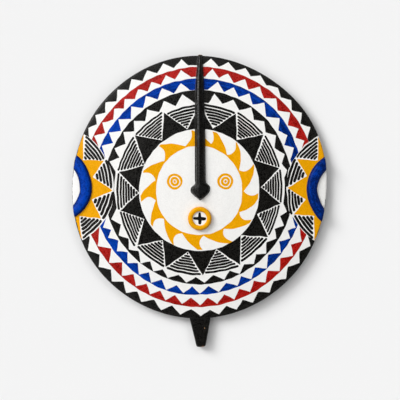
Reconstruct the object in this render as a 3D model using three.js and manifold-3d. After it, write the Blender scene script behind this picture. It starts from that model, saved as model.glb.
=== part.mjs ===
// A round sun mask carved from one board and painted, lying face up on the flat band round its hollow back.
// Millimetres. +Z points out of the face, +Y to the crown and +X to the viewer's right.
// Shapes are drawn about the middle of the round board and moved to the origin at the end.

import * as THREE from 'three';
import { mergeVertices } from 'three/addons/utils/BufferGeometryUtils.js';
import Module from 'manifold-3d';

const wasm = await Module();
wasm.setup();

// The board
const BOARD_RADIUS = 229.1;
// A knife-cut outline is never quite round: lobes round the edge, their depth and the direction of the first
const OUT_OF_ROUND = [
  { lobes: 1, depth: 1.3, at: 155 },
  { lobes: 2, depth: 3.3, at: 158 },
  { lobes: 3, depth: 0.7, at: 5 },
  { lobes: 4, depth: 0.8, at: 102 },
  { lobes: 5, depth: 0.3, at: 116 },
  { lobes: 6, depth: 0.6, at: 173 },
];
const RIM_THICK = 18;
const DOME_RISE = 18;
const EDGE_ROUND = 2.5;
const BACK_INSET = 3;
const WALL = 14;
const BACK_BAND = 24;
const HOLLOW_SLOPE = 8;
const ROUND_STEPS = 88;
const FACE_STEPS = 9;
const EDGE_STEPS = 3;

// The long nose, a ridge that runs in from the crown: y, left edge, right edge and height at each station
const NOSE = [
  { y: 234.5, left: -3.2, right: 4.8, high: 7 },
  { y: 206.5, left: -5.5, right: 5.8, high: 9 },
  { y: 192.0, left: -7.0, right: 6.6, high: 9.5 },
  { y: 150.0, left: -8.0, right: 7.9, high: 10.5 },
  { y: 91.0, left: -7.9, right: 9.4, high: 11.7 },
  { y: 44.0, left: -7.8, right: 9.6, high: 12.5 },
  { y: 8.6, left: -7.8, right: 10.6, high: 13 },
  { y: 4.6, left: -9.0, right: 14.4, high: 13 },
  { y: -0.2, left: -15.0, right: 17.6, high: 13 },
  { y: -5.5, left: -15.7, right: 17.4, high: 13 },
  { y: -9.0, left: -14.9, right: 15.9, high: 12.6 },
  { y: -16.0, left: -7.4, right: 9.5, high: 11.2 },
  { y: -19.5, left: -2.9, right: 5.4, high: 9.8 },
  { y: -23.0, left: 0.3, right: 1.9, high: 8 },
];
// The ridge's section, as shares of its width and height: a steep left side, a narrow crest and a broad right slope
const NOSE_SECTION = [
  { across: 0.0, up: 0.0 },
  { across: 0.05, up: 0.35 },
  { across: 0.22, up: 0.9 },
  { across: 0.42, up: 1.0 },
  { across: 0.92, up: 0.4 },
  { across: 1.0, up: 0.0 },
];
const SUNK = 5;

// The mouth, a raised ring round a sunk floor
const MOUTH_AT = { x: -0.1, y: -54.5 };
const MOUTH_OUTER = 20.7;
const MOUTH_INNER = 12.4;
const MOUTH_HIGH = 8.5;
const MOUTH_FLOOR = 3;
const MOUTH_STEPS = 36;

// The half-round bow at each side, a ring that the board's edge cuts off
const BOWS = [
  { x: 259.4, y: -2.8, inner: 48.6, outer: 70.7, facing: 180, sweep: 72 },
  { x: -250.4, y: 0.7, inner: 39.6, outer: 61.2, facing: 0, sweep: 72 },
];
const BOW_HIGH = 7;
const BOW_STEPS = 22;
const BOW_ROUND_STEPS = 7;

// The grip below the chin, which tapers to a rounded end
const GRIP_TOP_Y = -218;
const GRIP_ROOT_Y = -231;
const GRIP_END_Y = -282.5;
const GRIP_ROOT = { left: -18.1, right: 19.2 };
const GRIP_END = { left: -6.6, right: 10.8 };
const GRIP_THICK = 17;
const GRIP_CORNER = 4;
const GRIP_EDGE = 1.5;

const PAINT = { color: 0xf3f2ef, roughness: 0.5, metalness: 0 };

function outlineRadius(angle) {
  let radius = BOARD_RADIUS;
  for (const { lobes, depth, at } of OUT_OF_ROUND) {
    radius += depth * Math.cos(lobes * angle - THREE.MathUtils.degToRad(at));
  }
  return radius;
}

// How far out a place on the board is, from 0 in the middle to 1 on the outline
function outward(x, y) {
  return Math.hypot(x, y) / outlineRadius(Math.atan2(y, x));
}

function domeHeight(share) {
  return RIM_THICK + DOME_RISE * (1 - Math.min(share, 1) ** 2);
}

function faceHeight(x, y) {
  return domeHeight(outward(x, y));
}

// A closed geometry as a solid, with its faces turned outwards
function toSolid(geometry) {
  geometry.deleteAttribute('normal');
  geometry.deleteAttribute('uv');
  const merged = mergeVertices(geometry, 1e-3);
  const places = merged.attributes.position;
  const corners = merged.index.array;
  const kept = [];
  let volume = 0;
  const a = new THREE.Vector3();
  const b = new THREE.Vector3();
  const c = new THREE.Vector3();
  for (let i = 0; i < corners.length; i += 3) {
    const [p, q, r] = [corners[i], corners[i + 1], corners[i + 2]];
    if (p === q || q === r || r === p) {
      continue;
    }
    kept.push(p, q, r);
    a.fromBufferAttribute(places, p);
    b.fromBufferAttribute(places, q);
    c.fromBufferAttribute(places, r);
    volume += a.dot(b.cross(c));
  }
  if (volume < 0) {
    kept.reverse();
  }
  return new wasm.Manifold(new wasm.Mesh({
    numProp: 3,
    vertProperties: new Float32Array(places.array),
    triVerts: new Uint32Array(kept),
  }));
}

// A skin over a row of sections with equal numbers of points, closed at both ends
function loft(sections) {
  const count = sections[0].length;
  const places = sections.flat().flatMap((point) => [point.x, point.y, point.z]);
  const corners = [];
  for (let s = 0; s + 1 < sections.length; s += 1) {
    for (let i = 0; i < count; i += 1) {
      const next = (i + 1) % count;
      const here = s * count;
      const there = here + count;
      corners.push(here + i, here + next, there + i);
      corners.push(there + i, here + next, there + next);
    }
  }
  const last = (sections.length - 1) * count;
  for (let i = 1; i + 1 < count; i += 1) {
    corners.push(0, i + 1, i);
    corners.push(last, last + i, last + i + 1);
  }
  const geometry = new THREE.BufferGeometry();
  geometry.setAttribute('position', new THREE.Float32BufferAttribute(places, 3));
  geometry.setIndex(corners);
  return geometry;
}

// The domed board: face, rounded edge, side, flat back band and hollow, turned and then cut to the outline
function board() {
  const profile = [];
  const hollowRadius = BOARD_RADIUS - BACK_BAND - HOLLOW_SLOPE;
  for (let i = 0; i <= FACE_STEPS; i += 1) {
    const radius = hollowRadius * i / FACE_STEPS;
    profile.push(new THREE.Vector2(radius, domeHeight(radius / BOARD_RADIUS) - WALL));
  }
  profile.push(new THREE.Vector2(BOARD_RADIUS - BACK_BAND, 0));
  profile.push(new THREE.Vector2(BOARD_RADIUS - BACK_INSET, 0));
  for (let i = 0; i < EDGE_STEPS; i += 1) {
    const turn = Math.PI / 2 * i / EDGE_STEPS;
    profile.push(new THREE.Vector2(
      BOARD_RADIUS - EDGE_ROUND * (1 - Math.cos(turn)),
      RIM_THICK - EDGE_ROUND * (1 - Math.sin(turn)),
    ));
  }
  for (let i = FACE_STEPS; i >= 0; i -= 1) {
    const radius = (BOARD_RADIUS - EDGE_ROUND) * i / FACE_STEPS;
    profile.push(new THREE.Vector2(radius, domeHeight(radius / BOARD_RADIUS)));
  }
  const geometry = new THREE.LatheGeometry(profile, ROUND_STEPS);
  geometry.rotateX(Math.PI / 2);
  const places = geometry.attributes.position;
  for (let i = 0; i < places.count; i += 1) {
    const x = places.getX(i);
    const y = places.getY(i);
    const scale = outlineRadius(Math.atan2(y, x)) / BOARD_RADIUS;
    places.setXY(i, x * scale, y * scale);
  }
  return toSolid(geometry);
}

function nose() {
  const sections = NOSE.map(({ y, left, right, high }) => {
    const wide = right - left;
    const ground = faceHeight(0, y);
    const top = NOSE_SECTION.map(({ across, up }) => (
      new THREE.Vector3(left + across * wide, y, ground + up * high)
    ));
    const foot = [right, left].map((x) => new THREE.Vector3(x, y, ground - SUNK));
    return [...top, ...foot];
  });
  return toSolid(loft(sections));
}

function mouth() {
  const ground = faceHeight(MOUTH_AT.x, MOUTH_AT.y);
  const middle = (MOUTH_OUTER + MOUTH_INNER) / 2;
  const half = (MOUTH_OUTER - MOUTH_INNER) / 2;
  const profile = [
    new THREE.Vector2(0, -SUNK),
    new THREE.Vector2(MOUTH_OUTER, -SUNK),
    new THREE.Vector2(MOUTH_OUTER, 0.45 * MOUTH_HIGH),
    new THREE.Vector2(middle + 0.72 * half, 0.85 * MOUTH_HIGH),
    new THREE.Vector2(middle + 0.1 * half, MOUTH_HIGH),
    new THREE.Vector2(middle - 0.5 * half, 0.92 * MOUTH_HIGH),
    new THREE.Vector2(middle - 0.9 * half, 0.7 * MOUTH_HIGH),
    new THREE.Vector2(MOUTH_INNER, MOUTH_FLOOR),
    new THREE.Vector2(0, MOUTH_FLOOR),
  ];
  const geometry = new THREE.LatheGeometry(profile, MOUTH_STEPS);
  geometry.rotateX(Math.PI / 2);
  geometry.translate(MOUTH_AT.x, MOUTH_AT.y, ground);
  return toSolid(geometry);
}

// Everything above the outline of the board
function outlinePrism() {
  const edge = [];
  for (let i = 0; i < ROUND_STEPS; i += 1) {
    const angle = 2 * Math.PI * (i + 0.5) / ROUND_STEPS;
    const radius = outlineRadius(angle);
    edge.push(new THREE.Vector2(radius * Math.cos(angle), radius * Math.sin(angle)));
  }
  const geometry = new THREE.ExtrudeGeometry(new THREE.Shape(edge), {
    depth: 3 * RIM_THICK,
    bevelEnabled: false,
  });
  return toSolid(geometry);
}

function bow({ x, y, inner, outer, facing, sweep }) {
  const sections = [];
  for (let s = 0; s <= BOW_STEPS; s += 1) {
    const angle = THREE.MathUtils.degToRad(facing - sweep + 2 * sweep * s / BOW_STEPS);
    const at = (radius, up) => {
      const px = x + radius * Math.cos(angle);
      const py = y + radius * Math.sin(angle);
      return new THREE.Vector3(px, py, faceHeight(px, py) + up);
    };
    const section = [];
    for (let i = 0; i <= BOW_ROUND_STEPS; i += 1) {
      const turn = Math.PI * i / BOW_ROUND_STEPS;
      const radius = (inner + outer) / 2 - (outer - inner) / 2 * Math.cos(turn);
      section.push(at(radius, BOW_HIGH * Math.sin(turn) ** 0.8));
    }
    section.push(at(outer, -SUNK));
    section.push(at(inner, -SUNK));
    sections.push(section);
  }
  return toSolid(loft(sections));
}

function grip() {
  const shape = new THREE.Shape();
  shape.moveTo(GRIP_ROOT.left + GRIP_EDGE, GRIP_TOP_Y);
  shape.lineTo(GRIP_ROOT.left + GRIP_EDGE, GRIP_ROOT_Y);
  shape.lineTo(GRIP_END.left + GRIP_EDGE, GRIP_END_Y + GRIP_CORNER);
  shape.quadraticCurveTo(
    GRIP_END.left + GRIP_EDGE, GRIP_END_Y + GRIP_EDGE,
    GRIP_END.left + GRIP_CORNER, GRIP_END_Y + GRIP_EDGE,
  );
  shape.lineTo(GRIP_END.right - GRIP_CORNER, GRIP_END_Y + GRIP_EDGE);
  shape.quadraticCurveTo(
    GRIP_END.right - GRIP_EDGE, GRIP_END_Y + GRIP_EDGE,
    GRIP_END.right - GRIP_EDGE, GRIP_END_Y + GRIP_CORNER,
  );
  shape.lineTo(GRIP_ROOT.right - GRIP_EDGE, GRIP_ROOT_Y);
  shape.lineTo(GRIP_ROOT.right - GRIP_EDGE, GRIP_TOP_Y);
  const geometry = new THREE.ExtrudeGeometry(shape, {
    depth: GRIP_THICK - 2 * GRIP_EDGE,
    bevelEnabled: true,
    bevelThickness: GRIP_EDGE,
    bevelSize: GRIP_EDGE,
    bevelSegments: 2,
    curveSegments: 4,
  });
  geometry.translate(0, 0, GRIP_EDGE);
  return toSolid(geometry);
}

function sunMask() {
  const inside = outlinePrism();
  let solid = board().add(nose()).add(mouth()).add(grip());
  for (const place of BOWS) {
    solid = solid.add(bow(place).intersect(inside));
  }
  const { vertProperties, triVerts } = solid.getMesh();
  const geometry = new THREE.BufferGeometry();
  geometry.setAttribute('position', new THREE.Float32BufferAttribute(vertProperties, 3));
  geometry.setIndex([...triVerts]);
  geometry.computeBoundingBox();
  const { min, max } = geometry.boundingBox;
  geometry.translate(-(min.x + max.x) / 2, -(min.y + max.y) / 2, -min.z);
  geometry.computeVertexNormals();
  const mesh = new THREE.Mesh(geometry, new THREE.MeshStandardMaterial(PAINT));
  mesh.name = 'sun_mask';
  return mesh;
}

const group = new THREE.Group();
group.add(sunMask());

export default group;
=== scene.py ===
"""A painted wooden sun mask lying face up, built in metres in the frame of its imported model."""

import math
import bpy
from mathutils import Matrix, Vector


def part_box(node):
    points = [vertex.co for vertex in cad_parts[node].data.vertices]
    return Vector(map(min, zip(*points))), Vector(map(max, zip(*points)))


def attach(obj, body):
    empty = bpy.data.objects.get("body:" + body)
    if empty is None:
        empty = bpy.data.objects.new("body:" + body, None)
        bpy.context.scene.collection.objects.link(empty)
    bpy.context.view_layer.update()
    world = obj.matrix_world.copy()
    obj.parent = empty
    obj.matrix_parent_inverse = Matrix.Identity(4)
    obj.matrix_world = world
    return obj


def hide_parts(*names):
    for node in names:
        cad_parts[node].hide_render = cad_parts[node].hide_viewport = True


bl_info = {
    "name": "Painted sun mask",
    "version": (1, 0, 0),
    "blender": (4, 5, 0),
    "location": "View3D > Sidebar > Sun Mask",
    "description": "Carves and paints a round sun mask with a nose ridge, a ring mouth and a grip",
    "category": "Add Mesh",
}

import bpy
import numpy as np
from bpy.props import FloatProperty, FloatVectorProperty, IntProperty, PointerProperty
from mathutils import Vector
from mathutils.geometry import delaunay_2d_cdt
from mathutils.kdtree import KDTree

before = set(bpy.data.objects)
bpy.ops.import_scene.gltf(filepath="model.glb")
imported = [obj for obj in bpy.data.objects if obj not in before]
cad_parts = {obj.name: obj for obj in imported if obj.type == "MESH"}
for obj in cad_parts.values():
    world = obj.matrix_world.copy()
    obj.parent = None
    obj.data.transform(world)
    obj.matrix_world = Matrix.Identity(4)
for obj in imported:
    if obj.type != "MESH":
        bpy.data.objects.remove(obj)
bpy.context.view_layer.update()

# Tables are in millimetres about the middle of the round board. Clock degrees run clockwise from the crown.
MM = 0.001
WHITE, BLACK, RED, BLUE, YELLOW, BARE = range(6)

# The board's edge: lobes round it, their depth and the direction of the first, counted anticlockwise from
# +X. A scratch program fitted them and the radius to the edge that it measured in the photo.
BOARD_RADIUS = 229.1
OUT_OF_ROUND = ((1, 1.3, 155), (2, 3.3, 158), (3, 0.7, 5), (4, 0.8, 102), (5, 0.3, 116), (6, 0.6, 173))

# The nose ridge: y, left foot, right foot and height, then its section as shares of its width and height
NOSE = (
    (-22.1, 0.1, 1.3, 8.0),
    (-21.0, -1.7, 2.9, 9.0),
    (-19.5, -3.4, 5.6, 9.8),
    (-17.7, -5.6, 7.6, 10.5),
    (-16.0, -8.1, 9.6, 11.2),
    (-12.5, -11.9, 13.0, 12.0),
    (-9.0, -15.3, 16.1, 12.5),
    (-5.5, -16.1, 17.5, 12.8),
    (-0.2, -15.1, 17.7, 12.9),
    (1.8, -13.0, 17.3, 12.9),
    (4.6, -9.2, 14.8, 12.9),
    (6.6, -8.0, 12.5, 12.9),
    (8.6, -7.8, 10.6, 12.9),
    (13.0, -7.8, 10.2, 12.9),
    (44.0, -7.8, 9.6, 12.5),
    (91.0, -7.9, 9.4, 11.7),
    (150.0, -8.0, 7.9, 10.5),
    (192.0, -7.0, 6.6, 9.5),
    (206.5, -5.5, 5.8, 9.0),
    (234.5, -3.2, 4.8, 7.0),
)
NOSE_TOP = NOSE[-1][0]
NOSE_SECTION = (
    (0.0, 0.0),
    (0.04, 0.3),
    (0.17, 0.86),
    (0.22, 0.93),
    (0.33, 0.945),
    (0.38, 0.99),
    (0.42, 1.0),
    (0.47, 0.975),
    (0.88, 0.46),
    (0.95, 0.3),
    (1.0, 0.0),
)

# The mouth: its middle, then height above the dome against distance from the middle
MOUTH = (-0.1, -54.5)
MOUTH_SECTION = (
    (0.0, 4.6),
    (12.2, 4.8),
    (12.6, 6.6),
    (13.1, 7.8),
    (13.9, 8.3),
    (16.3, 8.5),
    (18.4, 8.3),
    (19.4, 7.5),
    (20.1, 5.5),
    (20.5, 2.6),
    (20.8, 0.0),
)
MOUTH_PAINT, FLOOR_PAINT = 20.9, 12.3
CROSS_WIDE, CROSS_TALL, CROSS_STROKE = 22.8, 20.2, 6.3

# The grip under the chin, from the board's edge down its left side and back up its right
GRIP = (
    (-18.1, -231.0),
    (-6.6, -278.5),
    (-5.9, -280.8),
    (-4.6, -281.8),
    (-2.0, -282.3),
    (1.5, -282.5),
    (5.5, -282.2),
    (7.6, -281.7),
    (9.3, -280.7),
    (10.75, -278.5),
    (19.2, -231.0),
)

# Each ring of teeth: the clock of its white points, the white points' radius, the colour's points' radius,
# and the flat stretches without teeth beside the nose and under the side suns
RIM_TEETH = (
    (5, 13, 21, 28.3, 38, 46.2, 53.8, 61.5, 118, 127.2, 136.8, 146.5, 155.2, 163.2, 171.3, 179.5, 188.8,
     197.5, 207, 215, 223, 231.7, 240.7, 298.2, 304.7, 312, 320, 327.7, 335.7, 343.6, 351.8),
    ((5, 228.4), (30, 224.6), (60, 222.8), (90, 221.5), (128, 221), (150, 222.8), (175, 227.2),
     (240, 227.2), (270, 225), (300, 223.7), (320, 225.4), (350, 229.3)),
    ((10, 215.7), (33, 215.7), (50, 212.2), (65, 208.6), (90, 208), (133, 209.5), (160, 212.2),
     (175, 216.9), (190, 213.9), (220, 213.9), (236, 212.7), (299, 213.9), (316, 211.8), (351, 216.4)),
    ((354.7, 361.2), (65.6, 114), (245.5, 294)),
)
RED_TEETH = (
    (6, 13.8, 22.5, 30.8, 40.5, 50.3, 59.2, 66, 118, 126.2, 136.2, 145.5, 154.3, 162.8, 171.5, 180, 188.8,
     197, 205, 213, 221.5, 230.3, 240.2, 296, 303.7, 312.5, 319.7, 327.7, 335.5, 343.2, 351),
    ((6, 211), (14, 207.1), (50, 207.1), (60, 202.1), (66, 202.1), (118, 203.6), (146, 203.6), (158, 205.7),
     (171, 207.8), (240, 207.8), (300, 207.1), (312, 204.8), (336, 204.8), (351, 209.9)),
    ((10, 195.7), (19, 193.2), (45, 193.2), (54, 189.9), (62, 189.9), (122, 189.5), (141, 189.5),
     (158, 191.3), (176, 194.8), (202, 194.8), (218, 192.2), (227, 189.5), (236, 189.5), (300, 193.2),
     (340, 193.2), (347, 194.8)),
    ((355.4, 362.8), (70, 112), (248.3, 292)),
)
BLUE_TEETH = (
    (9.7, 18.7, 27.7, 37.3, 49, 59.2, 67.2, 112.8, 119.5, 128.8, 140.3, 150.8, 159.2, 169.7, 180, 188.8,
     198.2, 207, 215, 223.7, 232.5, 241.3, 247.5, 293, 301.2, 310, 319.7, 329.5, 339.2, 349.7),
    ((10, 189), (19, 186.1), (37, 188), (49, 186.1), (59, 179.6), (67, 179.6), (113, 183.1), (129, 183.1),
     (140, 185.3), (160, 185.3), (170, 187.5), (183, 187.6), (190, 188.6), (198, 190), (207, 189),
     (215, 187.6), (224, 184.2), (241, 184.2), (293, 187.2), (350, 187.2)),
    ((15, 173), (32, 173), (44, 170.5), (54, 170.5), (64, 165.6), (116, 172.4), (125, 168.5), (135, 168.5),
     (151, 171.4), (165, 174.6), (185, 174.4), (194, 177), (203, 175), (212, 173.4), (229, 170.4),
     (238, 170.9), (246, 173.2), (287, 173.2), (296, 172.2), (306, 170.4), (316, 170.4), (325, 171.6),
     (354, 171.8)),
    ((354.2, 364.6), (73, 108), (252, 287)),
)
INNER_TEETH = (
    (9, 21, 33, 44.3, 55.7, 68.7, 79, 105.5, 114.3, 123.8, 135, 144.7, 155.3, 165.2, 177.2, 188, 199.5, 209,
     218.2, 229, 239.5, 250, 286, 294.7, 306, 315.2, 326, 337.5, 349.3),
    ((9, 167.2), (21, 164.7), (33, 167.2), (44, 162.4), (56, 162.4), (69, 160.1), (79, 156.8), (105, 158.7),
     (114, 162.3), (124, 162.3), (135, 165.1), (145, 165.1), (155, 167.7), (177, 167.7), (188, 169.3),
     (218, 169.3), (229, 165.4), (330, 165.4), (337, 164.4), (349, 166.6)),
    ((6, 148.6), (16, 152.6), (28, 152.6), (44, 151.5), (62, 148.6), (74, 150), (84, 149.3), (101, 149.3),
     (119, 150.5), (134, 152.4), (150, 155.6), (171, 155.6), (182, 157.9), (205, 157.9), (219, 155.6),
     (240, 154), (257, 150.1), (280, 150.1), (310, 151.9), (344, 149.1), (356, 149.1)),
    ((356.4, 365.9), (83.5, 101), (256, 280.5)),
)
# The smooth outer edge of each painted ring, mostly pixel radii that a scratch program turned into mm
RED_EDGE = (
    (0, 213.5), (45, 210.1), (90, 206.5), (135, 205.4), (180, 211.2), (225, 209.2), (270, 208.8),
    (315, 208.5),
)
BLUE_EDGE = (
    (0, 192.5), (45, 190.4), (60, 187), (66, 184.8), (90, 183.8), (135, 185.4), (180, 189.0), (190, 190.7),
    (200, 190.7), (225, 187.9), (270, 189.7), (315, 189.1),
)
INNER_EDGE = (
    (0, 172.0), (45, 167.8), (53, 166), (63, 163.4), (90, 163), (110, 165.6), (135, 166.3), (180, 171.1),
    (225, 168.8), (270, 168.6), (315, 167.9),
)

# The black star round the face: its points, the notches between them and the strokes in each notch, given
# as their number, the radius of the outermost and the innermost, and how they slant. Here and in the side
# suns a scratch program found the strokes' radii in the photo.
FACE = (0.0, -6.0)
STAR_POINTS = (
    (0, 151), (25, 150), (48.5, 149), (74, 145), (99, 143.7), (124, 144.3), (151.5, 148), (178, 148.6),
    (204, 146.7), (229, 145.7), (256, 143.9), (283, 145.5), (310.5, 150), (335.5, 151),
)
STAR_NOTCHES = (
    (12, 111.6), (36, 110.4), (61, 110.5), (86.5, 107.6), (112, 109), (137.5, 106.3), (164, 106.3),
    (191, 108.8), (217, 108.1), (243, 109.1), (268, 106.3), (295, 106.3), (323, 110.5), (348.5, 109.8),
)
STAR_STROKES = (
    (7, 149.8, 119.6, -1), (8, 150.2, 118.4, -2), (8, 146.8, 115.2, -2.5), (8, 143.8, 112.1, -1),
    (7, 142, 115.5, 1), (7, 142.6, 113.5, 0), (8, 145.3, 111.3, -2.5), (8, 146.3, 112, 0),
    (8, 145.8, 111.8, 0), (8, 145.8, 113.1, -2.5), (8, 144.8, 111.3, -0.5), (9, 147.6, 110.5, 1),
    (9, 149.8, 114.2, 1.5), (8, 148.1, 114, 2),
)
FACE_RING = (
    (0, 108.8), (45, 107.5), (90, 104.4), (135, 106.1), (180, 105.4), (225, 106), (270, 106.7),
    (315, 107.7),
)
FACE_DISC = (
    (0, 79.4), (45, 76.2), (90, 74.1), (135, 76.7), (180, 77.2), (225, 78.2), (270, 76.4), (315, 78.4),
)

# The flames: clock and radius of the notch before each, clock and radius of its tip, its width and swell
FLAMES = (
    (13.5, 84.2, 12, 106.6, 4, 0.5), (36.8, 79, 36.5, 106.6, 1.5, 1.8), (62, 77.8, 63.5, 105.2, 1.5, 2),
    (90, 77, 92, 103.2, 6, 2.3), (118.5, 79.2, 119, 104.4, 4, 0), (147.5, 79.5, 147, 106, 4, 0),
    (175, 79.4, 177, 103.5, 5, 0), (203, 80.3, 205.5, 105.6, 1.5, 0), (232, 80.3, 233, 103.9, 3, 0),
    (257.5, 79.2, 259.5, 104.6, 6, 0), (283, 80.1, 287.5, 105, 2.5, 0), (310, 81.5, 317.5, 105.9, 2.5, 0),
    (342, 82, 352, 107, 1, 0),
)

EYES = ((-43.95, 10.3, 0.985), (44.95, 10.5, 1.02))
EYE_RINGS = ((14.0, YELLOW), (9.9, WHITE), (8.2, YELLOW), (3.8, WHITE), (2.4, YELLOW))

# The half sun at each side: middle, points, notches, strokes, hatch edge and the two feet of its raised bow
SIDE_SUNS = (
    {
        "middle": (259.4, -2.8),
        "points": ((212, 107.5), (244.5, 104), (271, 104.8), (301, 103), (331.5, 104.8)),
        "notches": ((230.5, 74.7), (256, 75.4), (288, 74), (315, 71.2)),
        "strokes": ((5, 103.5, 80.2, -0.7), (5, 104.4, 82.9, -3.4), (5, 105, 81.2, -0.4), (6, 103, 78, -1.4)),
        "edge": ((222, 107.4), (232, 106.8), (238, 106.8), (250, 108.8), (256, 107.8), (262, 106.4),
                 (270, 106.8), (279, 107.8), (288, 108.6), (300, 107.6), (309, 106.6), (315, 107.2),
                 (322, 106.6)),
        "foot": ((230, 52.1), (250, 51), (270, 52), (290, 50.3), (310, 48.8)),
        "crown": ((220, 72.5), (240, 70.7), (270, 71.2), (290, 70.7), (310, 69.9), (320, 69.1)),
    },
    {
        "middle": (-250.3, 0.7),
        "points": ((25.3, 104.4), (60, 93.8), (93.5, 97.3), (126, 94.3), (156, 101)),
        "notches": ((42.5, 65), (74, 64.2), (110, 63.8), (144, 63.3)),
        "strokes": ((6, 98, 70.8, -3.8), (5, 95, 72, -2.4), (5, 97, 70.5, -0.7), (6, 97.5, 68.8, 1.9)),
        "edge": ((30, 104), (42.5, 101.3), (51, 99.8), (58.8, 98.4), (66, 98.6), (74, 98.7), (82, 98.9),
                 (102, 100.1), (118, 101), (136, 101.3), (144, 102), (151, 102.7)),
        "foot": ((42, 41.4), (50, 40.5), (60, 39.3), (70, 38.5), (80, 38), (90, 38), (100, 38.9),
                 (120, 39.1), (140, 41.2)),
        "crown": ((31, 65), (40, 63.8), (50, 62.1), (60, 60.5), (70, 59.6), (80, 60), (100, 60.5),
                  (150, 60.6)),
    },
)
BOW_SECTION = (
    (0.0, 0.0), (0.03, 0.35), (0.1, 0.62), (0.25, 0.88), (0.5, 1.0), (0.75, 0.9), (0.9, 0.62), (0.97, 0.35),
    (1.0, 0.0),
)

# Where the black of the side shows on the edge of the face: first and last clock, and width
RIM_LINES = ((242, 259, 1.7), (259, 274, 0.8), (274, 299, 1.4), (95, 116, 0.8))

# Bare wood where the paint is chipped or rubbed: a patch's middle, half sizes and turn
CHIPS = (
    ((8.4, -248.9), (0.75, 1.6), 8),
    ((5.8, -281.3), (3.6, 1.1), 7),
    ((0.6, 234.3), (3.6, 1.1), 0),
)

# Lengths over which the nose's tip rises and the face past the board's edge sinks by a millimetre
TIP_LONG, SINK_LONG = 1.6, 8

# How many degrees the first flame and the others lean
FIRST_LEAN, LEAN = 2.0, 4.5

# How far black passes the nose's foot, its left foot between two values of y, its tip and its top
SPILL, SPILL_LEFT, SPILL_TIP, SPILL_TOP = 0.35, 1.0, 0.6, 3
LONG_LEFT = (10, 180)

# Distance between the points of the board's edge, of painted loops and of the lines along the nose
LINE_STEP = 2.4

# How much the strokes of the star and of the side suns bend about their middle
STAR_BEND, SUN_BEND = 0.25, 0.3

# Hatching: the power by which strokes crowd inwards, how much wider the border is along a stroke, and how
# far ends and slants stray
CROWD, BORDER_SLANT, END_STRAY = 0.92, 1.22, 0.3

# A stroke shorter than the first gets twice the second as its length. A slant is counted over the third.
SHORTEST, SHORT_HALF, SLANT_WIDE = 2.2, 1.2, 30

# One stroke: its least and greatest width as shares of the strokes' distance, the length of its ends and
# the width of its tips as shares of its width, and how its width varies
STROKE_WIDE, STROKE_END, STROKE_TIP, STROKE_VARY = (0.78, 0.86), 0.35, 0.45, (0.96, 1.04)

# Black that crept over the rim: degrees between its points, how its width varies, how far it starts beyond
# the edge and how far it reaches past it
CREPT_STEP, CREPT_VARY, CREPT_START, CREPT_PAST = 0.5, (0.5, 1.3), 0.3, 1.5

# A chip's outline: number of points and how their distance varies
CHIP_POINTS, CHIP_VARY = 12, (0.75, 1.15)

# The slow sway of painted lines: number of waves, and their shortest and longest length
SWAYS, SWAY_LONG = 6, (14, 38)

# The field that holds the whole mask, and the half width and the top of the part of it below the board
FIELD_X, FIELD_Y = (-235, 235), (-290, 240)
GRIP_HALF, GRIP_TOP = 20, -225

# Loose points: height of a row and how far each point may stray, as shares of their distance
ROW_HIGH, STRAY = 0.866, 0.18

# Points nearer than this are one point in a sheet
SAME_POINT = 1e-5

# Rings of points near the board's edge, for its rounding: distances from it, the last beyond the rounding
EDGE_RINGS, EDGE_RING_LAST = (0.35, 0.95, 1.7), 0.1

# How near loose points may come to lines on the face and on the back, as shares of the mesh spacing, and
# how much farther apart they lie on the back
OFF_FACE, OFF_BACK, BACK_COARSE = 0.46, 0.5, 1.25

# Rings round the hollow's slope: degrees between points, and each ring's place as a share of the slope
BACK_STEP, BACK_RINGS = 0.9, (0, 0.2, 0.5, 0.8, 1, 1.4)

# Lines of the relief: how near those along the nose come to its sides, as a share of its width, the number
# of points round the mouth and the degrees between the points along a bow
NOSE_EDGE, MOUTH_COUNT, BOW_STEP = 0.004, 60, 2.2

# The side: share of the way down to the floor and how far it has leaned in there, up to the whole lean
SIDE_STEPS = ((0.12, 0.2), (0.3, 0.6), (0.5, 1.1), (0.7, 1.6), (0.86, 2.1), (0.95, 2.45), (1.0, 3.0))

# Height under which the nose's end draws back to the board's edge, and the drop over which it does so
NOSE_END_BACK, NOSE_END_FADE = 17, 4

# The nose's end shows bare wood beyond this y and above this height
NOSE_END_BARE = (232.6, 19)

# Wear: how far it reaches in from the rim, and how strong it is on the side
RUB_WIDE, RUB_SIDE = 1.6, 0.7

# Painted shade in a bow's creases: where it ends, counted in fades from the crease, and the length of a fade
CREASE_SHADE_WIDE, CREASE_SHADE_FADE = 2.6, 1.2

# How far from a side sun's middle the brush went round it
SUN_REACH = 106

# The bake map: how far left of and below the board's middle it starts, the millimetres that its whole width
# spans for face, back and side, and where on it the margin ends, the back begins and the side begins
BAKE_CORNER = (228, 284)
BAKE_FACE, BAKE_BACK, BAKE_SIDE = 614, 1920, 600
BAKE_MARGIN, BAKE_BACK_LEFT, BAKE_SIDE_FOOT = 0.01, 0.76, 0.9

# How far the floor lies under the mask, in metres, so that the two don't share a plane
FLOOR_DROP = 0.0004

# The paints in the order of their numbers: spread of tone, mottle, streak, sheen, painted shade in the bows'
# creases and lightening towards the left
PAINT_LOOKS = (
    ("white", 0.12, 0.15, 0.2, 0.2, 0.0, 0.0),
    ("black", 0.9, 0.8, 0.9, 0.2, 0.0, 0.0),
    ("red", 0.5, 0.5, 0.7, 0.2, 0.0, 0.0),
    ("blue", 0.65, 0.5, 1.3, 0.05, 0.9, 1.25),
    ("yellow", 0.16, 0.4, 0.5, 0.08, 0.0, 0.0),
)

# Fineness of the paint's noises and of its brush marks: away from the brush's middle, then along both parts
# of the direction from it
CLOUDS, PATCHES, GRIT, RAGS = 26.0, 130.0, 520.0, 210.0
FINE_MARKS, BROAD_MARKS = (300.0, 8.0, 8.0), (110.0, 3.0, 3.0)

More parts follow.
